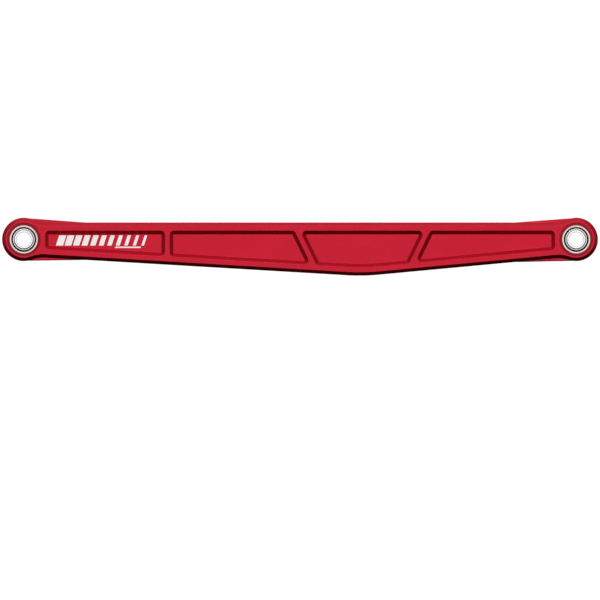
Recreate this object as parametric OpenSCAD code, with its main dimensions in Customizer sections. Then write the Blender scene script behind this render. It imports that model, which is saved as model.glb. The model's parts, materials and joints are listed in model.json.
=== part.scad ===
// Billet aluminium suspension control arm with a spherical bearing at each end.
// X runs along the arm from the frame-end bolt axis at the origin to the axle-end bolt axis.
// Y runs along both bolt axes, with the marked side facing -Y, and Z is up.

/* [Arm body] */
// Distance between the two bolt axes
arm_length = 736.6; // [600:0.1:900]
// Thickness of the billet between its two flat sides
arm_thickness = 31.75; // [27:0.05:40]
// Depth of the body at both ends, before the belly widens it
end_depth = 45.2; // [40:0.1:55]
// Depth of the belly point below the bolt line
belly_drop = 49.2; // [40:0.1:70]
// Distance of the belly point from the frame-end bolt axis
belly_x = 452; // [420:1:500]
// Radius that rounds the belly point
belly_radius = 300; // [60:1:400]
// Width of the 45 degree chamfer along all outer edges
edge_chamfer = 4.5; // [1:0.1:5.5]

/* [End bosses] */
// Wall of the end boss outside the bearing seat
boss_wall = 6.75; // [5.5:0.05:12]
// Radius that blends each boss into the body
neck_radius = 50; // [20:1:70]
// Distance from the bolt axis to where a gusset's edge meets the body's edge
gusset_length = 82.5; // [60:0.5:120]
// Thickness of the gussets that fill the necks
gusset_thickness = 19; // [10:0.5:21]
// Width of the 45 degree chamfer along the gusset edges
gusset_chamfer = 1; // [0.3:0.1:2]
// How far the gusset edge stays inside the boss where they meet
gusset_step = 0.4; // [0.2:0.1:2]

/* [Side pockets] */
// Flat land between the outer chamfer and a pocket
rim_width = 6.4; // [3:0.1:8]
// Flat land between the bearing seat and the nearest pocket
seat_land = 6; // [3:0.1:20]
// Depth of the pockets, whose walls slope at 45 degrees
pocket_depth = 5; // [1:0.1:6]
// Corner radius of a pocket at its floor
floor_corner = 1; // [0.5:0.1:3]
// Width of the ribs between the pockets
rib_width = 5.9; // [3:0.1:12]
// Distance of the upright rib from the frame-end bolt axis
rib_1_x = 191.4; // [185:0.1:260]
// Distance of the second rib from the frame-end bolt axis, on the bolt line
rib_2_x = 370; // [320:0.5:400]
// Distance of the third rib from the frame-end bolt axis, on the bolt line
rib_3_x = 533; // [510:0.5:560]
// Lean of the second and third ribs from upright, in degrees
rib_lean = 26; // [0:1:30]

/* [Side decal] */
// Distance of the decal's left end from the frame-end bolt axis
decal_x = 45; // [42:0.5:48]
// Height of the decal's middle above the bolt line
decal_z = -1.4; // [-2:0.1:0]
// Height of the decal's bars
decal_height = 13.6; // [6:0.1:14]
// Number of bars
decal_bars = 11; // [3:1:12]
// Distance from one bar to the next
decal_pitch = 11.4; // [10:0.1:11.6]
// Width of the first and widest bar
decal_bar_width = 9.6; // [5:0.1:9.8]
// Width that each bar loses to the one before
decal_taper = 0.62; // [0:0.01:0.8]
// Slant of the bars from upright, in degrees
decal_slant = 18; // [0:1:20]
// Thickness of the decal film
decal_thickness = 0.15; // [0.05:0.01:0.5]

/* [Bearings] */
// Radius of the bolt bore through the spacers
bolt_radius = 9.55; // [7.9:0.01:11.5]
// Width of the ball between its flat faces
ball_width = 25.4; // [21.2:0.1:30.5]
// Flat land on the ball's face around its bore
ball_land = 1.5; // [1.2:0.1:3]
// Thickness of the low-friction liner
liner_thickness = 0.5; // [0.3:0.05:1]
// Thinnest wall of the outer race
race_wall = 2.6; // [1.5:0.05:5]
// Depth of the race's faces behind the ball's faces
race_inset = 2.6; // [2:0.05:5]
// Width of the ledge that stops the bearing at the marked side
lip_ledge = 3.6; // [1.5:0.1:4]
// Depth of the recess in front of that ledge
lip_recess = 2.4; // [0.5:0.1:2.8]
// Bevel on the edges of the race
race_bevel = 0.8; // [0.2:0.1:1.2]
// Bevel on the rear mouth of the bearing seat
seat_bevel = 0.8; // [0.2:0.1:1.5]

/* [Spacers] */
// Distance between the outer faces of a pair of spacers
spacer_span = 50.8; // [42:0.1:70]
// Wall of the spacer's stem inside the ball
stem_wall = 3.13; // [2.6:0.01:5]
// Width of the shoulder that seats on the ball
shoulder_width = 0.9; // [0.5:0.05:1.1]
// Length of the straight part of the shoulder
shoulder_length = 0.8; // [0.3:0.1:1.5]
// Wall of the spacer at its outer face
nose_wall = 2.85; // [2:0.05:3.2]
// Bevel on the edges of the spacer's outer face
nose_bevel = 0.5; // [0.2:0.05:0.8]
// Gap between the two stems in the middle of the ball
stem_gap = 1; // [0.2:0.1:4]
// Thickness of the O-ring's section
seal_section = 1.4; // [1:0.1:1.8]
// Distance of the O-ring's middle from the ball's face
seal_inset = 6; // [3:0.1:8]

/* [Snap rings] */
// Thickness of the snap ring
snap_thickness = 1.57; // [1:0.01:1.8]
// Depth of the snap ring's groove in the bearing seat
snap_groove = 1.2; // [0.5:0.05:1.5]
// Width of the snap ring's band
snap_band = 3.6; // [3.2:0.1:4.2]
// Radius of the ears at the ring's ends
snap_ear = 2.6; // [2.2:0.1:2.8]
// Radius of the plier holes in the ears
snap_hole = 1.2; // [0.6:0.1:1.5]
// Half of the angle between the two ears, in degrees
snap_ear_angle = 15; // [12:1:30]

/* [Fits] */
// Running clearance between the ball and the liner
ball_fit = 0.03; // [0.01:0.01:0.1]
// Running clearance between the spacer stem and the ball's bore
stem_fit = 0.02; // [0.01:0.01:0.1]
// Clearance between pieces that stay still against each other
seat_fit = 0.02; // [0.01:0.01:0.05]

/* [Hidden] */
end_pieces = ["bearing_race", "bearing_liner", "ball", "snap_ring",
    "spacer_front", "spacer_rear", "o_ring_front", "o_ring_rear"];
$fn = 96;

// Steps along each rounded corner, and along each neck blend
corner_steps = 10;
neck_steps = 14;
// Rounding of the corners that lie hidden inside a boss or the body
hidden_corner = 6;
gusset_corner = 2;
// The ends of a neck blend stay this far inside the boss and the body
blend_step = 0.1;
// Cutting tools pass this far beyond the surface they cut
past = 1;
// A gusset runs this far into the body, past the point where their edges meet
gusset_root = 12;
// The liner's edges stay this far inside the race's faces
liner_edge = 0.5;
// Free play of the snap ring and of the O-rings in their grooves
snap_play = 0.1;
seal_play = 0.15;
// Angle by which the snap ring's band runs into its ears
ear_overlap = 1;
// Short bar below the decal's row: its length in bars, its distance and its height
underline_bars = 3;
underline_gap = 1.4;
underline_height = 1.8;

// Spacer, ball, race and bearing seat, each one around the one before
stem_radius = bolt_radius + stem_wall;
ball_bore_radius = stem_radius + stem_fit;
ball_face_radius = ball_bore_radius + ball_land;
ball_radius = norm([ball_face_radius, ball_width / 2]);
liner_inner_radius = ball_radius + ball_fit;
liner_outer_radius = liner_inner_radius + liner_thickness;
race_inner_radius = liner_outer_radius + seat_fit;
race_radius = race_inner_radius + race_wall;
race_width = ball_width - 2 * race_inset;
liner_width = race_width - 2 * liner_edge;
seat_radius = race_radius + seat_fit;
lip_radius = seat_radius - lip_ledge;
boss_radius = seat_radius + boss_wall;

// Snap ring, behind the race
snap_start = race_width / 2 + seat_fit;
snap_groove_radius = seat_radius + snap_groove;
snap_outer_radius = snap_groove_radius - snap_play;
snap_inner_radius = snap_outer_radius - snap_band;

// Spacer profile
shoulder_radius = ball_bore_radius + shoulder_width;
nose_radius = bolt_radius + nose_wall;
seal_centre_radius = stem_radius - seal_section / 2;
seal_groove_radius = seal_centre_radius - seal_section / 2 - seat_fit;
seal_y = ball_width / 2 - seal_inset;
seal_groove_half = seal_section / 2 + seal_play;

// Body outline
half_thickness = arm_thickness / 2;
end_half_depth = end_depth / 2;
belly_angle_frame = atan((belly_drop - end_half_depth) / belly_x);
belly_angle_axle = atan((belly_drop - end_half_depth) / (arm_length - belly_x));
floor_y = half_thickness - pocket_depth;
pocket_corner = floor_corner + pocket_depth;
pocket_inset = edge_chamfer + rim_width;

// A straight edge is [direction, offset]. The material lies on its left, and the offset is the
// edge's distance from the origin along that side. Edges follow each other anticlockwise.
function side(angle) = [-sin(angle), cos(angle)];
function edge(angle, point) = [angle, side(angle) * point];
function edge_through(p, q) = edge(atan2(q.y - p.y, q.x - p.x), p);
function shifted(e, distance) = [e[0], e[1] + distance];

// The point where two edges meet after both move inwards by the same distance
function meet(e, f, inwards = 0) =
    let (m = side(e[0]), n = side(f[0]), j = e[1] + inwards, k = f[1] + inwards)
    [j * n.y - k * m.y, k * m.x - j * n.x] / (m.x * n.y - m.y * n.x);

function on_circle(centre, radius, angle) = centre + radius * [cos(angle), sin(angle)];

// The turn from one direction to the next, between 0 and 360 degrees
function turn(from, to) = (to - from + 720) % 360;

// Outline of a convex shape with rounded corners, moved inwards all round. Corner i joins edge i to
// the next, and the corner centres stay where they are, so that two insets have matching points.
function outline(edges, radii, inset) = [
    for (i = [0 : len(edges) - 1])
        let (e = edges[i], f = edges[(i + 1) % len(edges)], centre = meet(e, f, radii[i]))
        for (j = [0 : corner_steps])
            on_circle(centre, radii[i] - inset, e[0] - 90 + turn(e[0], f[0]) * j / corner_steps)
];

frame_belly_edge = edge(-belly_angle_frame, [0, -end_half_depth]);
axle_belly_edge = edge(belly_angle_axle, [arm_length, -end_half_depth]);
top_edge = edge(180, [0, end_half_depth]);
body_edges = [
    frame_belly_edge, axle_belly_edge,
    edge(90, [arm_length, 0]), top_edge, edge(270, [0, 0])
];
body_corners = [belly_radius, hidden_corner, hidden_corner, hidden_corner, hidden_corner];

// The edge of a pocket that runs up, or down, beside a rib. A positive lean tips the rib's top
// towards the frame end.
function rib_edge_up(x, lean) = shifted(edge(90 + lean, [x, 0]), rib_width / 2);
function rib_edge_down(x, lean) = shifted(edge(270 + lean, [x, 0]), rib_width / 2);

pocket_top = shifted(top_edge, pocket_inset);
pocket_frame_belly = shifted(frame_belly_edge, pocket_inset);
pocket_axle_belly = shifted(axle_belly_edge, pocket_inset);
first_wall = edge(270, [seat_radius + seat_land, 0]);
last_wall = edge(90, [arm_length - seat_radius - seat_land, 0]);
pockets = [
    [pocket_frame_belly, rib_edge_up(rib_1_x, 0), pocket_top, first_wall],
    [pocket_frame_belly, rib_edge_up(rib_2_x, rib_lean), pocket_top, rib_edge_down(rib_1_x, 0)],
    [pocket_frame_belly, pocket_axle_belly, rib_edge_up(rib_3_x, -rib_lean), pocket_top,
        rib_edge_down(rib_2_x, rib_lean)],
    [pocket_axle_belly, last_wall, pocket_top, rib_edge_down(rib_3_x, -rib_lean)]
];
// The pocket that spans the belly point follows its rounding at the lowest corner
function pocket_radii(edges) =
    [for (i = [0 : len(edges) - 1])
        len(edges) == 5 && i == 0 ? belly_radius - pocket_inset : pocket_corner];

// Joins outlines with equal numbers of points, given as [y, outline] from the marked side rearwards
module loft(levels) {
    count = len(levels[0][1]);
    last = len(levels) - 1;
    points = [for (level = levels) for (p = level[1]) [p.x, level[0], p.y]];
    front = [concat([0], [for (i = [count - 1 : -1 : 1]) i])];
    rear = [[for (i = [0 : count - 1]) last * count + i]];
    sides = [
        for (k = [0 : last - 1])
            for (i = [0 : count - 1])
                let (j = (i + 1) % count, low = k * count, high = low + count)
                [low + i, low + j, high + j, high + i]
    ];
    polyhedron(points, concat(front, rear, sides));
}

// A slab with both rims chamfered, from its outline and the outline inset by the chamfer
module chamfered_slab(outer, inner, thickness, chamfer) {
    face = thickness / 2;
    loft([[-face, inner], [chamfer - face, outer], [face - chamfer, outer], [face, inner]]);
}

// Turns a profile drawn as [radius, y] about a bolt axis
module turned(x) {
    translate([x, 0, 0])
        rotate([-90, 0, 0])
            rotate_extrude()
                children();
}

// A cylinder along a bolt axis, between two values of y
module bore(x, radius, from, to) {
    translate([x, from, 0])
        rotate([-90, 0, 0])
            cylinder(r = radius, h = to - from);
}

module boss(x) {
    waist = half_thickness - edge_chamfer;
    rim = boss_radius - edge_chamfer;
    turned(x)
        polygon([
            [0, -half_thickness], [rim, -half_thickness], [boss_radius, -waist],
            [boss_radius, waist], [rim, half_thickness], [0, half_thickness]
        ]);
}

// Points of a neck blend: the bolt axis, then the arc that touches both the boss and the body's edge.
// way says which way the body lies from the bolt axis, along the direction of its edge.
function neck_outline(x, body_edge, way, inset) =
    let (
        centre = [x, 0],
        inwards = side(body_edge[0]),
        along = [inwards.y, -inwards.x] * way,
        drop = body_edge[1] + blend_step - neck_radius - inwards * centre,
        reach = sqrt(pow(boss_radius - blend_step + neck_radius, 2) - drop * drop),
        focus = centre + inwards * drop + along * reach,
        at_body = atan2(inwards.y, inwards.x),
        at_boss = atan2(centre.y - focus.y, centre.x - focus.x),
        first = way > 0 ? at_boss : at_body,
        sweep = -turn(way > 0 ? at_body : at_boss, first)
    )
    concat([centre], [
        for (i = [0 : neck_steps])
            on_circle(focus, neck_radius + inset, first + sweep * i / neck_steps)
    ]);

module neck(x, body_edge, way) {
    chamfered_slab(
        neck_outline(x, body_edge, way, 0),
        neck_outline(x, body_edge, way, edge_chamfer),
        arm_thickness, edge_chamfer
    );
}

// The point where a line from q touches a circle around a bolt axis. side_sign picks which of the two.
function touch(centre, radius, q, side_sign) =
    let (to_q = q - centre)
    on_circle(centre, radius, atan2(to_q.y, to_q.x) + side_sign * acos(radius / norm(to_q)));

// way is 1 at the frame end and -1 at the axle end
module gusset(x, belly_edge, way) {
    centre = [x, 0];
    radius = boss_radius - gusset_step;
    meeting = edge(90, [x + way * gusset_length, 0]);
    top_point = meet(meeting, top_edge);
    belly_point = meet(meeting, belly_edge);
    top_touch = touch(centre, radius, top_point, way);
    belly_touch = touch(centre, radius, belly_point, -way);
    root = x + way * (gusset_length + gusset_root);
    edges = way > 0
        ? [edge_through(belly_touch, belly_point), edge(90, [root, 0]),
            edge_through(top_point, top_touch),
            edge_through(top_touch, centre), edge_through(centre, belly_touch)]
        : [edge_through(belly_point, belly_touch), edge_through(belly_touch, centre),
            edge_through(centre, top_touch), edge_through(top_touch, top_point),
            edge(270, [root, 0])];
    radii = [for (e = edges) gusset_corner];
    chamfered_slab(outline(edges, radii, 0), outline(edges, radii, gusset_chamfer),
        gusset_thickness, gusset_chamfer);
}

// A pocket in the marked side for way -1, or in the rear side for way 1
module pocket(edges, way) {
    radii = pocket_radii(edges);
    floor_outline = outline(edges, radii, pocket_depth);
    mouth_outline = outline(edges, radii, -past);
    mouth_y = half_thickness + past;
    if (way < 0)
        loft([[-mouth_y, mouth_outline], [-floor_y, floor_outline]]);
    else
        loft([[floor_y, floor_outline], [mouth_y, mouth_outline]]);
}

// The bearing goes in from the rear against the lip, and the snap ring's groove holds it there
module bearing_seat(x) {
    front = -half_thickness;
    rear = half_thickness;
    ledge = -race_width / 2 - seat_fit;
    bore(x, lip_radius, front - past, rear);
    bore(x, seat_radius, front - past, front + lip_recess);
    bore(x, seat_radius, ledge, rear + past);
    bore(x, snap_groove_radius, snap_start - seat_fit, snap_start + snap_thickness + seat_fit);
    turned(x)
        polygon([
            [0, rear - seat_bevel], [seat_radius, rear - seat_bevel],
            [seat_radius + seat_bevel + past, rear + past], [0, rear + past]
        ]);
}

module arm_body() {
    color("crimson")
        difference() {
            union() {
                chamfered_slab(
                    outline(body_edges, body_corners, 0),
                    outline(body_edges, body_corners, edge_chamfer),
                    arm_thickness, edge_chamfer
                );
                boss(0);
                boss(arm_length);
                neck(0, top_edge, -1);
                neck(0, frame_belly_edge, 1);
                neck(arm_length, top_edge, 1);
                neck(arm_length, axle_belly_edge, -1);
                gusset(0, frame_belly_edge, 1);
                gusset(arm_length, axle_belly_edge, -1);
            }
            for (edges = pockets)
                for (way = [-1, 1])
                    pocket(edges, way);
            bearing_seat(0);
            bearing_seat(arm_length);
        }
}

// A row of slanted bars that get narrower towards the axle end, with a short bar below the row
module decal_bar(x, width, low, high) {
    lean_low = low * tan(decal_slant);
    lean_high = high * tan(decal_slant);
    polygon([[x + lean_low, low], [x + width + lean_low, low],
        [x + width + lean_high, high], [x + lean_high, high]]);
}

module side_decal() {
    half_height = decal_height / 2;
    underline_x = decal_x + max(0, decal_bars - underline_bars - 1) * decal_pitch;
    underline_top = -half_height - underline_gap;
    color("white")
        translate([0, -floor_y, decal_z])
            rotate([90, 0, 0])
                linear_extrude(decal_thickness) {
                    for (i = [0 : decal_bars - 1])
                        decal_bar(decal_x + i * decal_pitch, decal_bar_width - i * decal_taper,
                            -half_height, half_height);
                    decal_bar(underline_x, underline_bars * decal_pitch,
                        underline_top - underline_height, underline_top);
                }
}

// Profile of a sphere's belt, outside the ball's bore and within a width along the bolt axis
module belt(radius, width) {
    intersection() {
        circle(r = radius);
        translate([ball_bore_radius, -width / 2])
            square([radius, width]);
    }
}

module bearing_race(x) {
    half_width = race_width / 2;
    color("silver")
        turned(x)
            difference() {
                polygon([
                    [ball_bore_radius, -half_width], [race_radius - race_bevel, -half_width],
                    [race_radius, race_bevel - half_width], [race_radius, half_width - race_bevel],
                    [race_radius - race_bevel, half_width], [ball_bore_radius, half_width]
                ]);
                circle(r = race_inner_radius);
            }
}

module bearing_liner(x) {
    color("goldenrod")
        turned(x)
            difference() {
                belt(liner_outer_radius, liner_width);
                circle(r = liner_inner_radius);
            }
}

module ball(x) {
    color("gainsboro")
        turned(x)
            belt(ball_radius, ball_width);
}

// The ears lie on both sides of the ring's gap, which faces down
module snap_ring(x) {
    ear_radius = snap_inner_radius + snap_hole / 2;
    gap_half = snap_ear_angle - asin(snap_ear / ear_radius) + ear_overlap;
    ring_end = snap_start + snap_thickness;
    color("dimgray")
        difference() {
            union() {
                difference() {
                    bore(x, snap_outer_radius, snap_start, ring_end);
                    bore(x, snap_inner_radius, snap_start - past, ring_end + past);
                    translate([x, snap_start - past, 0])
                        rotate([-90, 0, 0])
                            linear_extrude(snap_thickness + 2 * past)
                                polygon([
                                    [0, 0],
                                    on_circle([0, 0], 2 * snap_outer_radius, 90 - gap_half),
                                    on_circle([0, 0], 2 * snap_outer_radius, 90 + gap_half)
                                ]);
                }
                for (way = [-1, 1])
                    snap_ear_disc(x, ear_radius, way, snap_ear, snap_start, ring_end);
            }
            for (way = [-1, 1])
                snap_ear_disc(x, ear_radius, way, snap_hole, snap_start - past, ring_end + past);
        }
}

module snap_ear_disc(x, ear_radius, way, radius, from, to) {
    place = on_circle([x, 0], ear_radius, 270 + way * snap_ear_angle);
    translate([0, 0, place.y])
        bore(place.x, radius, from, to);
}

// One of a pair of spacers, with its stem in the ball. way is -1 at the marked side and 1 at the rear.
module spacer(x, way) {
    ball_face = ball_width / 2 + seat_fit;
    nose = spacer_span / 2;
    stem_end = stem_gap / 2;
    color("lightgray")
        turned(x)
            polygon([
                for (p = [
                    [bolt_radius, stem_end], [stem_radius - nose_bevel, stem_end],
                    [stem_radius, stem_end + nose_bevel],
                    [stem_radius, seal_y - seal_groove_half], [seal_groove_radius, seal_y - seal_groove_half],
                    [seal_groove_radius, seal_y + seal_groove_half], [stem_radius, seal_y + seal_groove_half],
                    [stem_radius, ball_face], [shoulder_radius, ball_face],
                    [shoulder_radius, ball_face + shoulder_length], [nose_radius, nose - nose_bevel],
                    [nose_radius - nose_bevel, nose], [bolt_radius + nose_bevel, nose],
                    [bolt_radius, nose - nose_bevel]
                ])
                    [p.x, way * p.y]
            ]);
}

module o_ring(x, way) {
    color("black")
        turned(x)
            translate([seal_centre_radius, way * seal_y])
                circle(d = seal_section);
}

arm_body();
side_decal();
bearing_race(0);  // frame_bearing_race
bearing_liner(0);  // frame_bearing_liner
ball(0);  // frame_ball
snap_ring(0);  // frame_snap_ring
spacer(0, -1);  // frame_spacer_front
spacer(0, 1);  // frame_spacer_rear
o_ring(0, -1);  // frame_o_ring_front
o_ring(0, 1);  // frame_o_ring_rear
bearing_race(arm_length);  // axle_bearing_race
bearing_liner(arm_length);  // axle_bearing_liner
ball(arm_length);  // axle_ball
snap_ring(arm_length);  // axle_snap_ring
spacer(arm_length, -1);  // axle_spacer_front
spacer(arm_length, 1);  // axle_spacer_rear
o_ring(arm_length, -1);  // axle_o_ring_front
o_ring(arm_length, 1);  // axle_o_ring_rear
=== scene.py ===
import json
import math

import bpy
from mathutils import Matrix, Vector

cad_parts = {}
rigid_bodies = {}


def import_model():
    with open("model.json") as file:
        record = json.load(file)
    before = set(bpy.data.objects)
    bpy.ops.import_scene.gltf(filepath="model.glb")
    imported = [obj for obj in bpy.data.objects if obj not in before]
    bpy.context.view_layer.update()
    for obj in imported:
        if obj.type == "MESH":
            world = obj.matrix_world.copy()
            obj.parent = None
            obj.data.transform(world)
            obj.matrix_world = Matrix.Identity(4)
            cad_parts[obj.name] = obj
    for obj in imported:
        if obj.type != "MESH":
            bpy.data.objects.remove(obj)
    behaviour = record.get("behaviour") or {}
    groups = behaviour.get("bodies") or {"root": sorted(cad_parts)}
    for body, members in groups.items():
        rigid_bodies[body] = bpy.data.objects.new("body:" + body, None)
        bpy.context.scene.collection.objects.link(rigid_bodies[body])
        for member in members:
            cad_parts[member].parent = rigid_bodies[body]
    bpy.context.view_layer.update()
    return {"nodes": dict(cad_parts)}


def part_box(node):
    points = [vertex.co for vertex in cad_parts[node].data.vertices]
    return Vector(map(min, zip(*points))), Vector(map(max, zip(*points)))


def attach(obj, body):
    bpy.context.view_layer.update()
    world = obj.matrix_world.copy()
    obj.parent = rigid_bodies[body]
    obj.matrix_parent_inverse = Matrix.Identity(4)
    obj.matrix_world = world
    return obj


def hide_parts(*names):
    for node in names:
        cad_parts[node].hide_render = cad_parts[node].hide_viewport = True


# Red billet control arm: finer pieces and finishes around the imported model.
# X runs along the arm, Y along the bolts with the marked side at -Y, Z is up. Metres throughout.
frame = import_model()
mm = 0.001
frameAxis = 0.0
axleAxis = (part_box("axle_ball")[0].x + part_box("axle_ball")[1].x) / 2
meshing = {
    "flatAngle": 0.5, "sameRing": 0.005 * mm, "shortestChord": 0.02, "longestChord": 0.35,
    "breakWeld": 0.002 * mm, "breakSteps": 2, "smoothAngle": 32, "normalWeight": 80,
}


def pickOnly(piece):
    if bpy.context.object and bpy.context.object.mode != "OBJECT":
        bpy.ops.object.mode_set(mode="OBJECT")
    bpy.ops.object.select_all(action="DESELECT")
    piece.select_set(True)
    bpy.context.view_layer.objects.active = piece


def mergedCopy(nodeName, name, gap):
    # a CAD mesh is loose triangles, so the copy is welded and its flat faces are joined up
    source = frame["nodes"][nodeName]
    piece = source.copy()
    piece.data = source.data.copy()
    piece.parent = None
    for key in list(piece.keys()):
        del piece[key]
    piece.name = piece.data.name = name
    bpy.context.scene.collection.objects.link(piece)
    pickOnly(piece)
    bpy.ops.object.mode_set(mode="EDIT")
    bpy.ops.mesh.select_all(action="SELECT")
    bpy.ops.mesh.customdata_custom_splitnormals_clear()
    bpy.ops.mesh.remove_doubles(threshold=gap)
    bpy.ops.mesh.dissolve_degenerate(threshold=gap / 2)
    bpy.ops.mesh.dissolve_limited(angle_limit=math.radians(meshing["flatAngle"]))
    bpy.ops.mesh.select_all(action="DESELECT")
    bpy.ops.object.mode_set(mode="OBJECT")
    return piece


def selectEdges(piece, wanted):
    # wanted says yes or no to an edge from its two corners; the piece is in edit mode, in edge mode
    bpy.ops.object.mode_set(mode="OBJECT")
    corners = piece.data.vertices
    for edge in piece.data.edges:
        if edge.select and not wanted(*(corners[i].co for i in edge.vertices)):
            edge.select = False
    for corner in corners:
        corner.select = False
    for face in piece.data.polygons:
        face.select = False
    kept = [edge for edge in piece.data.edges if edge.select]
    for edge in kept:
        for i in edge.vertices:
            corners[i].select = True
    bpy.ops.object.mode_set(mode="EDIT")


def breakEdges(piece, width, sharperThan, wanted=None, steps=meshing["breakSteps"]):
    # rounds the sharp edges and remembers the new faces in the edgeMask attribute
    pickOnly(piece)
    bpy.ops.object.mode_set(mode="EDIT")
    bpy.context.tool_settings.mesh_select_mode = (False, True, False)
    bpy.ops.mesh.select_all(action="DESELECT")
    bpy.ops.mesh.edges_select_sharp(sharpness=math.radians(sharperThan))
    if wanted:
        selectEdges(piece, wanted)
    while len(piece.data.materials) < 2:
        piece.data.materials.append(None)
    bpy.ops.mesh.bevel(offset=width, segments=steps, clamp_overlap=False, material=1)
    bpy.ops.mesh.select_all(action="SELECT")
    bpy.ops.mesh.remove_doubles(threshold=meshing["breakWeld"])
    bpy.ops.mesh.select_all(action="DESELECT")
    bpy.ops.object.mode_set(mode="OBJECT")
    mask = piece.data.attributes.new("edgeMask", "FLOAT", "FACE")
    mask.data.foreach_set("value", [float(face.material_index) for face in piece.data.polygons])
    piece.data.polygons.foreach_set("material_index", [0] * len(piece.data.polygons))


def finishShading(piece):
    pickOnly(piece)
    bpy.ops.object.shade_smooth_by_angle(angle=math.radians(meshing["smoothAngle"]))
    even = piece.modifiers.new("evenNormals", "WEIGHTED_NORMAL")
    even.weight = meshing["normalWeight"]
    even.keep_sharp = True
    bpy.ops.object.modifier_apply(modifier=even.name)


def turnedPiece(name, rings, centreX, facets, edgeWidth):
    # one circle drawn out ring by ring along a bolt axis, closed on itself, with its edges broken
    firstRadius, firstY = rings[0]
    bpy.ops.object.select_all(action="DESELECT")
    bpy.ops.mesh.primitive_circle_add(vertices=facets, radius=firstRadius, fill_type="NOTHING",
                                      location=(centreX, firstY, 0), rotation=(math.pi / 2, 0, 0))
    piece = bpy.context.active_object
    piece.name = piece.data.name = name
    bpy.ops.object.transform_apply(location=True, rotation=True, scale=True)
    bpy.ops.object.mode_set(mode="EDIT")
    bpy.context.tool_settings.mesh_select_mode = (False, True, False)
    bpy.ops.mesh.select_all(action="SELECT")
    radius, y = firstRadius, firstY
    for nextRadius, nextY in rings[1:]:
        grow = nextRadius / radius
        bpy.ops.mesh.extrude_edges_move(
            MESH_OT_extrude_edges_indiv={},
            TRANSFORM_OT_translate={"value": (0, nextY - y, 0), "orient_type": "GLOBAL"})
        bpy.ops.transform.resize(value=(grow, 1, grow), orient_type="GLOBAL",
                                 center_override=(centreX, nextY, 0))
        radius, y = nextRadius, nextY
    bpy.ops.mesh.select_all(action="DESELECT")
    bpy.ops.mesh.select_non_manifold()
    bpy.ops.mesh.bridge_edge_loops()
    bpy.ops.mesh.select_all(action="SELECT")
    bpy.ops.mesh.normals_make_consistent(inside=False)
    bpy.ops.mesh.select_all(action="DESELECT")
    bpy.ops.object.mode_set(mode="OBJECT")
    breakEdges(piece, edgeWidth, bearing["sharperThan"])
    markTurned(piece, centreX)
    finishShading(piece)
    return piece


def markTurned(piece, centreX):
    # radius and depth about the bolt axis, for tool marks that run round the piece
    places = piece.data.attributes.new("turnedPlace", "FLOAT_VECTOR", "POINT")
    values = []
    for corner in piece.data.vertices:
        values += [math.hypot(corner.co.x - centreX, corner.co.z), corner.co.y, 0.0]
    places.data.foreach_set("vector", values)


def arc(radius, fromY, toY, steps):
    # rings along a sphere's profile, in equal angles
    start, end = math.asin(fromY / radius), math.asin(toY / radius)
    angles = [start + (end - start) * i / steps for i in range(steps + 1)]
    return [(radius * math.cos(angle), radius * math.sin(angle)) for angle in angles]


def fromAxis(corner):
    # the nearer bolt axis and the distance to it
    axis = min((frameAxis, axleAxis), key=lambda x: abs(corner.x - x))
    return axis, math.hypot(corner.x - axis, corner.z)


def roundRings(piece, radii, cuts):
    # circles about the bolts come coarse, so their chords are divided and pushed out to the circle
    same = meshing["sameRing"]

    def alongRing(first, second):
        radius = fromAxis(first)[1]
        return (abs(first.y - second.y) < same and abs(radius - fromAxis(second)[1]) < same
                and min(abs(radius - ring) for ring in radii) < same
                and meshing["shortestChord"] < (first - second).length / radius < meshing["longestChord"])

    pickOnly(piece)
    bpy.ops.object.mode_set(mode="EDIT")
    bpy.context.tool_settings.mesh_select_mode = (False, True, False)
    bpy.ops.mesh.select_all(action="SELECT")
    selectEdges(piece, alongRing)
    before = len(piece.data.vertices)
    bpy.ops.mesh.subdivide(number_cuts=cuts, ngon=True)
    bpy.ops.mesh.select_all(action="DESELECT")
    bpy.ops.object.mode_set(mode="OBJECT")
    for corner in piece.data.vertices[before:]:
        axis, radius = fromAxis(corner.co)
        grow = min(radii, key=lambda ring: abs(ring - radius)) / radius
        corner.co.x = axis + (corner.co.x - axis) * grow
        corner.co.z *= grow
    print(piece.name, "rounded with", len(piece.data.vertices) - before, "new points")


def otherEnd(piece, name):
    # the same piece at the axle end, with a mesh of its own
    pickOnly(piece)
    bpy.ops.object.duplicate(linked=False)
    twin = bpy.context.active_object
    twin.name = twin.data.name = name
    bpy.ops.transform.translate(value=(axleAxis - frameAxis, 0, 0), orient_type="GLOBAL")
    bpy.ops.object.transform_apply(location=True, rotation=True, scale=True)
    return twin


def dress(piece, body, node, material):
    piece.data.materials.clear()
    piece.data.materials.append(material)
    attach(piece, body)
    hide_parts(node)


def newGroup(name, inputs, outputs):
    # every socket is a number but Vector
    group = bpy.data.node_groups.new(name, "ShaderNodeTree")
    for label in inputs:
        kind = "NodeSocketVector" if label == "Vector" else "NodeSocketFloat"
        group.interface.new_socket(name=label, in_out="INPUT", socket_type=kind)
    for label in outputs:
        group.interface.new_socket(name=label, in_out="OUTPUT", socket_type="NodeSocketFloat")
    return group, group.nodes.new("NodeGroupInput"), group.nodes.new("NodeGroupOutput")


def addNode(tree, kind, **settings):
    node = tree.nodes.new(kind)
    for key, value in settings.items():
        setattr(node, key, value)
    return node


def giveSocket(tree, socket, value):
    if isinstance(value, (int, float)):
        socket.default_value = value
    else:
        tree.links.new(value, socket)


def mathNode(tree, operation, first, second=None, clamp=False):
    node = addNode(tree, "ShaderNodeMath", operation=operation, use_clamp=clamp)
    giveSocket(tree, node.inputs[0], first)
    if second is not None:
        giveSocket(tree, node.inputs[1], second)
    return node.outputs[0]


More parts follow.
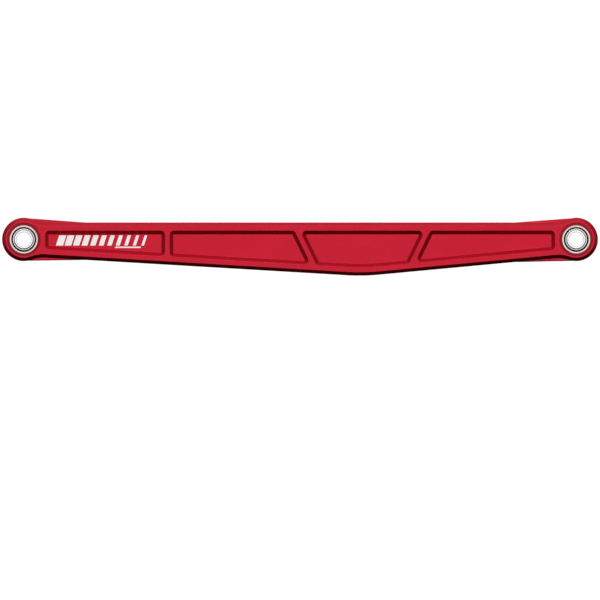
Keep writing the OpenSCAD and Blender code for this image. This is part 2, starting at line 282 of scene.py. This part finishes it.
def mapRange(tree, value, low, high, newLow=0.0, newHigh=1.0):
    node = addNode(tree, "ShaderNodeMapRange", interpolation_type="SMOOTHSTEP")
    labels = ("Value", "From Min", "From Max", "To Min", "To Max")
    for label, given in zip(labels, (value, low, high, newLow, newHigh)):
        giveSocket(tree, node.inputs[label], given)
    return node.outputs["Result"]


def noiseNode(tree, place, scale, detail, roughness=0.5):
    node = addNode(tree, "ShaderNodeTexNoise", noise_dimensions="3D")
    labels = ("Vector", "Scale", "Detail", "Roughness")
    for label, given in zip(labels, (place, scale, detail, roughness)):
        giveSocket(tree, node.inputs[label], given)
    return node.outputs["Fac"]


def blendColours(tree, amount, first, second):
    node = addNode(tree, "ShaderNodeMix", data_type="RGBA")
    tree.links.new(amount, node.inputs["Factor"])
    for socket, value in ((node.inputs["A"], first), (node.inputs["B"], second)):
        if isinstance(value, tuple):
            socket.default_value = (*value, 1.0)
        else:
            tree.links.new(value, socket)
    return node.outputs["Result"]


# the grain is what blasting and anodising leave; the lines are tool marks, from a squeezed or turned place
surfaceMarks = {
    "fineGrain": {"detail": 2.0, "roughness": 0.6, "broadScale": 0.04, "broadDetail": 3.0},
    "toolLines": {"detail": 3.0, "roughness": 0.65, "broadScale": 0.12, "broadDetail": 1.0},
}
cloudEdges = (0.3, 0.7)


def makeMarksGroup(name):
    marks = surfaceMarks[name]
    group, given, made = newGroup(name, ("Vector", "Scale"), ("Height", "Tone"))
    place, scale = given.outputs["Vector"], given.outputs["Scale"]
    broadScale = mathNode(group, "MULTIPLY", scale, marks["broadScale"])
    fine = noiseNode(group, place, scale, marks["detail"], marks["roughness"])
    broad = noiseNode(group, place, broadScale, marks["broadDetail"])
    group.links.new(fine, made.inputs["Height"])
    group.links.new(mapRange(group, broad, *cloudEdges), made.inputs["Tone"])
    return group


patchyWear = {"detail": 4.0, "wornFrom": 0.42, "wornTo": 0.68, "least": 0.25}


def makeWearGroup():
    # edges that handling has rubbed, in broken patches
    group, given, made = newGroup("edgeWear", ("Vector", "Edge", "Scale", "Amount"), ("Mask",))
    patches = noiseNode(group, given.outputs["Vector"], given.outputs["Scale"], patchyWear["detail"])
    worn = mapRange(group, patches, patchyWear["wornFrom"], patchyWear["wornTo"], patchyWear["least"], 1.0)
    shown = mathNode(group, "MULTIPLY", worn, given.outputs["Edge"])
    group.links.new(mathNode(group, "MULTIPLY", shown, given.outputs["Amount"], True), made.inputs["Mask"])
    return group


smudges = {"detail": 5.0, "roughness": 0.6}


def makeSmudgeGroup():
    # broad uneven gloss, as oil and fingers leave it
    group, given, made = newGroup("gloss", ("Vector", "Scale", "Lowest", "Highest"), ("Roughness",))
    cloud = noiseNode(group, given.outputs["Vector"], given.outputs["Scale"],
                      smudges["detail"], smudges["roughness"])
    spread = mapRange(group, cloud, *cloudEdges, given.outputs["Lowest"], given.outputs["Highest"])
    group.links.new(spread, made.inputs["Roughness"])
    return group


grainGroup = makeMarksGroup("fineGrain")
linesGroup = makeMarksGroup("toolLines")
wearGroup = makeWearGroup()
glossGroup = makeSmudgeGroup()


def useGroup(tree, group, vector, **values):
    node = addNode(tree, "ShaderNodeGroup", node_tree=group)
    tree.links.new(vector, node.inputs["Vector"])
    for label, value in values.items():
        giveSocket(tree, node.inputs[label], value)
    return node


def newMaterial(name, **sockets):
    material = bpy.data.materials.new(name)
    material.use_nodes = True
    tree = material.node_tree
    shader = tree.nodes["Principled BSDF"]
    for label, value in sockets.items():
        shader.inputs[label.replace("_", " ")].default_value = value
    place = addNode(tree, "ShaderNodeTexCoord").outputs["Object"]
    return material, tree, shader, place


def bumpInto(tree, shader, height, strength, distance, before=None):
    bump = addNode(tree, "ShaderNodeBump")
    bump.inputs["Strength"].default_value = strength
    bump.inputs["Distance"].default_value = distance
    tree.links.new(height, bump.inputs["Height"])
    if before:
        tree.links.new(before, bump.inputs["Normal"])
    tree.links.new(bump.outputs["Normal"], shader.inputs["Normal"])
    return bump.outputs["Normal"]


def attributeNode(tree, name, output):
    return addNode(tree, "ShaderNodeAttribute", attribute_name=name).outputs[output]


def unevenGloss(tree, shader, place, look):
    gloss = useGroup(tree, glossGroup, place, Scale=look["glossScale"],
                     Lowest=look["lowGloss"], Highest=look["highGloss"])
    tree.links.new(gloss.outputs["Roughness"], shader.inputs["Roughness"])


def rubbedEdges(tree, place, look):
    wear = useGroup(tree, wearGroup, place, Edge=attributeNode(tree, "edgeMask", "Fac"),
                    Scale=look["edgeScale"], Amount=look["edgeAmount"])
    return wear.outputs["Mask"]


redAnodised = {
    # the darker red for the bearing seats, and the radii over which it fades out, are painted shade for the
    # recess
    "dye": (0.485, 0.0072, 0.025), "dyeDeep": (0.45, 0.0064, 0.0215), "paintedSeatShade": (0.24, 0.005, 0.011),
    "bareEdge": (0.55, 0.055, 0.07), "edgeAmount": 0.45, "edgeScale": 70.0,
    "lowGloss": 0.42, "highGloss": 0.48, "glossScale": 14.0, "coat": 0.16, "coatRoughness": 0.22,
    "lineScale": 2200.0, "lineStretch": (0.012, 1.0, 1.0), "lineTone": 0.35, "lineBump": 0.16,
    "lineDepth": 0.00006, "grainScale": 2600.0, "grainTone": 0.25, "grainBump": 0.22, "grainDepth": 0.00005,
    "seatShadeFrom": 0.10 * mm, "seatShadeTo": 0.25 * mm,
}


def distanceToBolt(tree, parts):
    # radius about the nearer bolt axis
    fromFrame = mathNode(tree, "ABSOLUTE", parts.outputs["X"])
    fromAxle = mathNode(tree, "ABSOLUTE", mathNode(tree, "SUBTRACT", parts.outputs["X"], axleAxis))
    along = mathNode(tree, "POWER", mathNode(tree, "MINIMUM", fromFrame, fromAxle), 2.0)
    upright = mathNode(tree, "POWER", parts.outputs["Z"], 2.0)
    return mathNode(tree, "SQRT", mathNode(tree, "ADD", along, upright))


def makeRedAnodised():
    look = redAnodised
    material, tree, shader, place = newMaterial(
        "redAnodised", Metallic=1.0, Coat_Roughness=look["coatRoughness"], Coat_Weight=look["coat"])
    # machining lines run along the arm
    along = addNode(tree, "ShaderNodeMapping", vector_type="POINT")
    along.inputs["Scale"].default_value = look["lineStretch"]
    tree.links.new(place, along.inputs["Vector"])
    lines = useGroup(tree, linesGroup, along.outputs["Vector"], Scale=look["lineScale"])
    grain = useGroup(tree, grainGroup, place, Scale=look["grainScale"])
    # the turned seats and the lip ring in them are painted darker red, a painted shade for the shadow inside
    # the recess
    parts = addNode(tree, "ShaderNodeSeparateXYZ")
    tree.links.new(place, parts.inputs["Vector"])
    inSeat = mapRange(tree, distanceToBolt(tree, parts),
                      seatRadius + look["seatShadeFrom"], seatRadius + look["seatShadeTo"], 1.0, 0.0)
    tone = mathNode(tree, "ADD", mathNode(tree, "MULTIPLY", lines.outputs["Tone"], look["lineTone"]),
                    mathNode(tree, "MULTIPLY", grain.outputs["Tone"], look["grainTone"]))
    dyed = blendColours(tree, tone, look["dye"], look["dyeDeep"])
    # painted shade: the seats are blended to the darker red where the recess would lie in shadow
    dyed = blendColours(tree, inSeat, dyed, look["paintedSeatShade"])
    dyed = blendColours(tree, rubbedEdges(tree, place, look), dyed, look["bareEdge"])
    tree.links.new(dyed, shader.inputs["Base Color"])
    unevenGloss(tree, shader, place, look)
    lined = bumpInto(tree, shader, lines.outputs["Height"], look["lineBump"], look["lineDepth"])
    bumpInto(tree, shader, grain.outputs["Height"], look["grainBump"], look["grainDepth"], lined)
    return material


turnedSteel = {
    "raceSteel": {"bright": (0.56, 0.56, 0.57), "dull": (0.44, 0.44, 0.455), "lowGloss": 0.20,
                  "highGloss": 0.30, "lineScale": 4200.0, "bump": 0.16},
    "ballChrome": {"bright": (0.72, 0.73, 0.74), "dull": (0.64, 0.65, 0.665), "lowGloss": 0.05,
                   "highGloss": 0.12, "lineScale": 6000.0, "bump": 0.03},
    "stainless": {"bright": (0.74, 0.74, 0.75), "dull": (0.62, 0.62, 0.63), "lowGloss": 0.20,
                  "highGloss": 0.30, "lineScale": 3600.0, "bump": 0.18},
}
# what the three steels share
steelWear = {
    "glossScale": 90.0, "rubbed": (0.80, 0.80, 0.80), "edgeScale": 160.0, "edgeAmount": 0.8, "depth": 0.00004,
}


def makeTurnedSteel(name):
    look = {**steelWear, **turnedSteel[name]}
    material, tree, shader, place = newMaterial(name, Metallic=1.0)
    lines = useGroup(tree, linesGroup, attributeNode(tree, "turnedPlace", "Vector"), Scale=look["lineScale"])
    base = blendColours(tree, lines.outputs["Tone"], look["bright"], look["dull"])
    base = blendColours(tree, rubbedEdges(tree, place, look), base, look["rubbed"])
    tree.links.new(base, shader.inputs["Base Color"])
    unevenGloss(tree, shader, place, look)
    bumpInto(tree, shader, lines.outputs["Height"], look["bump"], look["depth"])
    return material


springSteel = {
    "coat": (0.045, 0.046, 0.05), "coatPale": (0.07, 0.07, 0.075), "rubbed": (0.28, 0.28, 0.29),
    "metal": 0.85, "lowGloss": 0.38, "highGloss": 0.52, "glossScale": 120.0, "grainScale": 3200.0,
    "edgeScale": 220.0, "edgeAmount": 0.7, "bump": 0.35, "depth": 0.00005,
}


def makeSpringSteel():
    look = springSteel
    material, tree, shader, place = newMaterial("springSteel", Metallic=look["metal"])
    grain = useGroup(tree, grainGroup, place, Scale=look["grainScale"])
    base = blendColours(tree, grain.outputs["Tone"], look["coat"], look["coatPale"])
    base = blendColours(tree, rubbedEdges(tree, place, look), base, look["rubbed"])
    tree.links.new(base, shader.inputs["Base Color"])
    unevenGloss(tree, shader, place, look)
    bumpInto(tree, shader, grain.outputs["Height"], look["bump"], look["depth"])
    return material


linerCloth = {
    "thread": (0.50, 0.40, 0.20), "valley": (0.24, 0.18, 0.08), "weave": 1300.0, "unevenness": 0.25,
    "gapFrom": 0.2, "gapTo": 0.7, "roughness": 0.62, "bump": 0.5, "depth": 0.00008,
}


def makeLinerCloth():
    look = linerCloth
    material, tree, shader, place = newMaterial("linerCloth", Roughness=look["roughness"])
    weave = addNode(tree, "ShaderNodeTexVoronoi", feature="F1", distance="CHEBYCHEV")
    weave.inputs["Scale"].default_value = look["weave"]
    weave.inputs["Randomness"].default_value = look["unevenness"]
    tree.links.new(place, weave.inputs["Vector"])
    gaps = mapRange(tree, weave.outputs["Distance"], look["gapFrom"], look["gapTo"])
    tree.links.new(blendColours(tree, gaps, look["thread"], look["valley"]), shader.inputs["Base Color"])
    bumpInto(tree, shader, mathNode(tree, "SUBTRACT", 1.0, gaps), look["bump"], look["depth"])
    return material


# rubber and film share one build: a fine grain between two tones, with uneven gloss
plainFinish = {
    "sealRubber": {"base": (0.018, 0.018, 0.02), "tint": (0.05, 0.05, 0.052), "sheen": 0.4, "lowGloss": 0.38,
                   "highGloss": 0.55, "glossScale": 150.0, "grainScale": 3800.0, "bump": 0.2},
    "whiteFilm": {"base": (0.93, 0.93, 0.93), "tint": (0.86, 0.86, 0.865), "sheen": 0.45, "lowGloss": 0.42,
                  "highGloss": 0.55, "glossScale": 60.0, "grainScale": 1800.0, "bump": 0.12},
}
plainGrainDepth = 0.00003


def makePlainFinish(name):
    look = plainFinish[name]
    material, tree, shader, place = newMaterial(name, Specular_IOR_Level=look["sheen"])
    grain = useGroup(tree, grainGroup, place, Scale=look["grainScale"])
    base = blendColours(tree, grain.outputs["Tone"], look["base"], look["tint"])
    tree.links.new(base, shader.inputs["Base Color"])
    unevenGloss(tree, shader, place, look)
    bumpInto(tree, shader, grain.outputs["Height"], look["bump"], plainGrainDepth)
    return material


arm = {
    "weld": 0.04 * mm, "edgeRadius": 0.22 * mm, "sharperThan": 30, "blendRadius": 27.9 * mm,
    "gussetHalf": 9.65 * mm, "seatGap": 0.02 * mm, "lip": 3.6 * mm, "mouth": 0.8 * mm, "groove": 1.2 * mm,
    "wall": 6.75 * mm, "chamfer": 4.5 * mm, "ringCuts": 3, "seatReach": 1.32 * mm, "seatHalf": 13 * mm,
}
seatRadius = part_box("frame_bearing_race")[1].x + arm["seatGap"]
bossRadius = seatRadius + arm["wall"]
armRings = [
    seatRadius, seatRadius - arm["lip"], seatRadius + arm["mouth"], seatRadius + arm["groove"],
    bossRadius, bossRadius - arm["chamfer"], bossRadius - arm["chamfer"] / 2]


def takesBreak(first, second):
    # not where the gussets run out on the bosses in a feather edge, nor deep inside the bearing seats
    for corner in (first, second):
        axis, radius = fromAxis(corner)
        onBlend = abs(corner.y) < arm["gussetHalf"] and radius > arm["blendRadius"] \
            and abs(corner.x - axis) < arm["blendRadius"]
        inSeat = radius < seatRadius + arm["seatReach"] and abs(corner.y) < arm["seatHalf"]
        if onBlend or inSeat:
            return False
    return True


armBody = mergedCopy("arm_body", "armBody", arm["weld"])
roundRings(armBody, armRings, arm["ringCuts"])
breakEdges(armBody, arm["edgeRadius"], arm["sharperThan"], takesBreak)
finishShading(armBody)
dress(armBody, "arm", "arm_body", makeRedAnodised())
print("arm body:", len(armBody.data.polygons), "faces")

decal = {"weld": 0.01 * mm, "cornerRadius": 0.7 * mm, "cornerSteps": 4, "sharperThan": 30, "thin": 0.05 * mm}


def acrossFilm(first, second):
    return abs(first.y - second.y) > decal["thin"]


sideDecal = mergedCopy("side_decal", "sideDecal", decal["weld"])
breakEdges(sideDecal, decal["cornerRadius"], decal["sharperThan"], acrossFilm, decal["cornerSteps"])
finishShading(sideDecal)
dress(sideDecal, "arm", "side_decal", makePlainFinish("whiteFilm"))
print("decal done")

bearing = {
    "ballRadius": 19.05 * mm, "ballHalf": 12.7 * mm, "ballBore": 12.7 * mm, "linerInner": 19.08 * mm,
    "linerOuter": 19.58 * mm, "linerHalf": 9.6 * mm, "raceInner": 19.6 * mm, "raceOuter": 22.21 * mm,
    "raceHalf": 10.1 * mm, "raceBevel": 0.8 * mm, "facets": 144, "arcSteps": 28, "sharperThan": 25,
    "raceEdge": 0.12 * mm, "linerEdge": 0.06 * mm, "ballEdge": 0.18 * mm,
}


def raceRings():
    outer, half, bevel = bearing["raceOuter"], bearing["raceHalf"], bearing["raceBevel"]
    return arc(bearing["raceInner"], half, -half, bearing["arcSteps"]) + [
        (outer - bevel, -half), (outer, bevel - half), (outer, half - bevel), (outer - bevel, half)]


def linerRings():
    half, steps = bearing["linerHalf"], bearing["arcSteps"]
    return arc(bearing["linerInner"], half, -half, steps) + arc(bearing["linerOuter"], -half, half, steps)


def ballRings():
    bore, half = bearing["ballBore"], bearing["ballHalf"]
    return [(bore, half), (bore, -half)] + arc(bearing["ballRadius"], -half, half, bearing["arcSteps"])


raceSteel = makeTurnedSteel("raceSteel")
ballChrome = makeTurnedSteel("ballChrome")
stainless = makeTurnedSteel("stainless")
linerFinish = makeLinerCloth()


def bothEnds(name, rings, edgeWidth, body, node, material):
    # modelled at the frame end and copied to the axle end
    atFrame = turnedPiece("frame" + name, rings, frameAxis, bearing["facets"], edgeWidth)
    atAxle = otherEnd(atFrame, "axle" + name)
    dress(atFrame, body.replace("end", "frame"), "frame_" + node, material)
    dress(atAxle, body.replace("end", "axle"), "axle_" + node, material)


bothEnds("BearingRace", raceRings(), bearing["raceEdge"], "arm", "bearing_race", raceSteel)
bothEnds("BearingLiner", linerRings(), bearing["linerEdge"], "arm", "bearing_liner", linerFinish)
bothEnds("Ball", ballRings(), bearing["ballEdge"], "end_ball", "ball", ballChrome)
print("bearings done")

spacer = {
    "bore": 9.55 * mm, "stem": 12.68 * mm, "stemEnd": 0.5 * mm, "groove": 11.26 * mm, "grooveIn": 5.85 * mm,
    "grooveOut": 7.55 * mm, "seat": 12.72 * mm, "shoulder": 13.6 * mm, "shoulderEnd": 13.52 * mm,
    "nose": 12.4 * mm, "noseY": 25.4 * mm, "bevel": 0.5 * mm, "edge": 0.10 * mm,
}


def spacerRings(way):
    bore, stem, stemEnd, groove = (spacer[part] for part in ("bore", "stem", "stemEnd", "groove"))
    seat, shoulder, nose = (spacer[part] for part in ("seat", "shoulder", "nose"))
    noseY, bevel = spacer["noseY"], spacer["bevel"]
    rings = [
        (bore, stemEnd), (stem - bevel, stemEnd), (stem, stemEnd + bevel), (stem, spacer["grooveIn"]),
        (groove, spacer["grooveIn"]), (groove, spacer["grooveOut"]), (stem, spacer["grooveOut"]),
        (stem, seat), (shoulder, seat), (shoulder, spacer["shoulderEnd"]), (nose, noseY - bevel),
        (nose - bevel, noseY), (bore + bevel, noseY), (bore, noseY - bevel)]
    return [(radius, way * y) for radius, y in rings]


for side, way in (("front", -1), ("rear", 1)):
    bothEnds("Spacer" + side.capitalize(), spacerRings(way), spacer["edge"],
             "end_spacers", "spacer_" + side, stainless)
print("spacers done")

snap = {"weld": 0.005 * mm, "edge": 0.12 * mm, "sharperThan": 40}
springFinish = makeSpringSteel()
for end in ("frame", "axle"):
    snapRing = mergedCopy(end + "_snap_ring", end + "SnapRing", snap["weld"])
    breakEdges(snapRing, snap["edge"], snap["sharperThan"])
    finishShading(snapRing)
    dress(snapRing, "arm", end + "_snap_ring", springFinish)
rubber = makePlainFinish("sealRubber")
for node in frame["nodes"]:
    if "o_ring" in node:
        frame["nodes"][node].data.materials[0] = rubber
print("snap rings and seals done")

studio = {
    "floorHeight": -0.0490, "floorSize": 12.0, "floorColour": (0.9, 0.9, 0.9, 1.0), "floorRoughness": 0.9,
    "floorGlow": 0.24, "white": (1.0, 1.0, 1.0, 1.0), "whiteLevel": 1.05,
    "bottomSky": 0.012, "sideSky": 0.38, "topSky": 0.56, "facingSky": 1.56,
    "darkBelow": -0.8, "sideFrom": 0.1, "facingBelow": -0.75, "facingFrom": -0.05,
}
# each lamp's Y and Z, its tilt from straight down, its width and height, and how bright it looks
softboxes = {
    "topSoftbox": (0.0, 1.4, 0, 2.4, 1.3, 0.38),
    "frontSoftbox": (-1.8, 1.8, 45, 2.5, 1.5, 1.5),
    "rearSoftbox": (1.8, 1.8, -45, 2.5, 1.5, 1.5),
}
middle = axleAxis / 2


def addSoftbox(name, y, z, tilt, width, height, brightness):
    light = bpy.data.lights.new(name, "AREA")
    light.shape = "RECTANGLE"
    light.size, light.size_y = width, height
    light.energy = math.pi * width * height * brightness
    lamp = bpy.data.objects.new(name, light)
    lamp.location = (middle, y, z)
    lamp.rotation_euler = (math.radians(tilt), 0, 0)
    lamp.visible_camera = False
    bpy.context.scene.collection.objects.link(lamp)


def splitByRay(tree, test, first, second, output):
    # the first shader where the test says no, the second where it says yes
    choice = addNode(tree, "ShaderNodeMixShader")
    for socket, value in zip(choice.inputs, (test, first, second)):
        tree.links.new(value, socket)
    tree.links.new(choice.outputs[0], output.inputs["Surface"])


def makeSky():
    # darker below and at the ends, so that each chamfer reads on its own; plain white to the eye
    world = bpy.data.worlds.new("softStudio")
    bpy.context.scene.world = world
    world.use_nodes = True
    tree = world.node_tree
    tree.nodes.clear()
    direction = addNode(tree, "ShaderNodeTexCoord").outputs["Generated"]
    parts = addNode(tree, "ShaderNodeSeparateXYZ")
    tree.links.new(direction, parts.inputs["Vector"])
    level = mapRange(tree, parts.outputs["Z"], studio["darkBelow"], studio["sideFrom"],
                     studio["bottomSky"], studio["sideSky"])
    above = mapRange(tree, parts.outputs["Z"], 0.0, 1.0, 0.0, studio["topSky"] - studio["sideSky"])
    # both broad sides of the arm look into a brighter part of the sky
    lobe = mathNode(tree, "MULTIPLY", parts.outputs["Y"], parts.outputs["Y"])
    lobeLevel = mapRange(tree, parts.outputs["Z"], studio["facingBelow"], studio["facingFrom"],
                         0.0, studio["facingSky"])
    facing = mathNode(tree, "MULTIPLY", lobe, lobeLevel)
    strength = mathNode(tree, "ADD", mathNode(tree, "ADD", level, above), facing)
    light = addNode(tree, "ShaderNodeBackground")
    tree.links.new(strength, light.inputs["Strength"])
    seen = addNode(tree, "ShaderNodeBackground")
    seen.inputs["Color"].default_value = studio["white"]
    seen.inputs["Strength"].default_value = studio["whiteLevel"]
    eye = addNode(tree, "ShaderNodeLightPath").outputs["Is Camera Ray"]
    splitByRay(tree, eye, light.outputs[0], seen.outputs[0], addNode(tree, "ShaderNodeOutputWorld"))


def makeFloor():
    bpy.ops.object.select_all(action="DESELECT")
    bpy.ops.mesh.primitive_plane_add(size=studio["floorSize"], location=(middle, 0, studio["floorHeight"]))
    floor = bpy.context.active_object
    floor.name = "studioFloor"
    material, tree, shader, place = newMaterial(
        "paleFloor", Roughness=studio["floorRoughness"], Base_Color=studio["floorColour"],
        Emission_Color=studio["white"], Emission_Strength=studio["floorGlow"])
    # clear from underneath, so that views from below see the arm
    under = addNode(tree, "ShaderNodeNewGeometry").outputs["Backfacing"]
    clear = addNode(tree, "ShaderNodeBsdfTransparent")
    splitByRay(tree, under, shader.outputs[0], clear.outputs[0], tree.nodes["Material Output"])
    floor.data.materials.append(material)
    floor.visible_glossy = False
    floor.visible_diffuse = False
    floor.visible_shadow = False


makeSky()
makeFloor()
for name, values in softboxes.items():
    addSoftbox(name, *values)

view = {"distance": 2.0, "width": 0.8, "farEnd": 20.0, "aimX": 0.3683, "aimZ": -0.0808}
cameraData = bpy.data.cameras.new("camera")
cameraData.type = "ORTHO"
cameraData.ortho_scale = view["width"]
cameraData.clip_end = view["farEnd"]
camera = bpy.data.objects.new("camera", cameraData)
camera.location = (view["aimX"], -view["distance"], view["aimZ"])
camera.rotation_euler = (math.radians(90), 0, 0)
bpy.context.scene.collection.objects.link(camera)
bpy.context.scene.camera = camera
bpy.context.scene.view_settings.view_transform = "Standard"
print("studio done")
